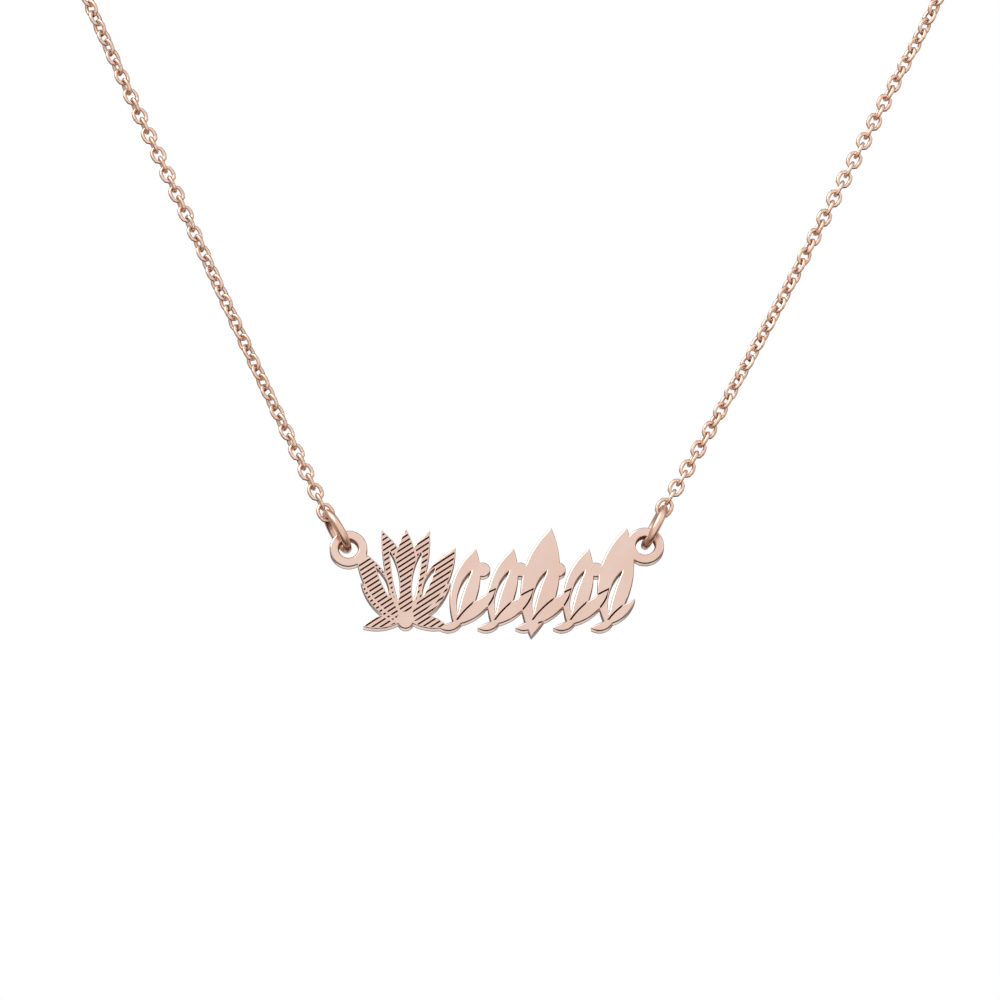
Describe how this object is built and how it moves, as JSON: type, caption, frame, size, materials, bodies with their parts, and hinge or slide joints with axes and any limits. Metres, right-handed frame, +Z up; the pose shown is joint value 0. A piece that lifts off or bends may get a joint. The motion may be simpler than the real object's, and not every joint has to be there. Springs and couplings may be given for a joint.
{
  "type": "nameplate necklace",
  "caption": "Fine cable chain necklace, closed at the nape, with a flat cut-out plate of leaf ornament hung between jump rings.",
  "frame": {"origin": "the nape, at the middle of the clasp's ring, where the back of the neck carries the chain", "axes": "+Z up, -Y to the front that the plate faces, +X to the right of the plate as the picture shows it"},
  "size_m": [0.1192, 0.0551, 0.1165],
  "materials": {
    "plate_metal": "rose gold plate, polished flat, with darkened engraved lines",
    "ring_metal": "rose gold plate, polished wire",
    "chain_metal": "rose gold plate, polished fine links"
  },
  "bodies": {
    "chain": {"jump_ring_left": "ring_metal", "jump_ring_right": "ring_metal", "chain_left": "chain_metal", "chain_right": "chain_metal", "clasp": "ring_metal", "end_ring": "ring_metal"},
    "nameplate": {"nameplate": "plate_metal"}
  },
  "joints": [
    {"name": "nameplate_swing", "type": "hinge", "parent": "chain", "child": "nameplate", "pos_m": [-0.0001, -0.05, -0.10022], "axis": [0.9999, 0, 0.0108], "range_deg": [-20, 20]}
  ]
}
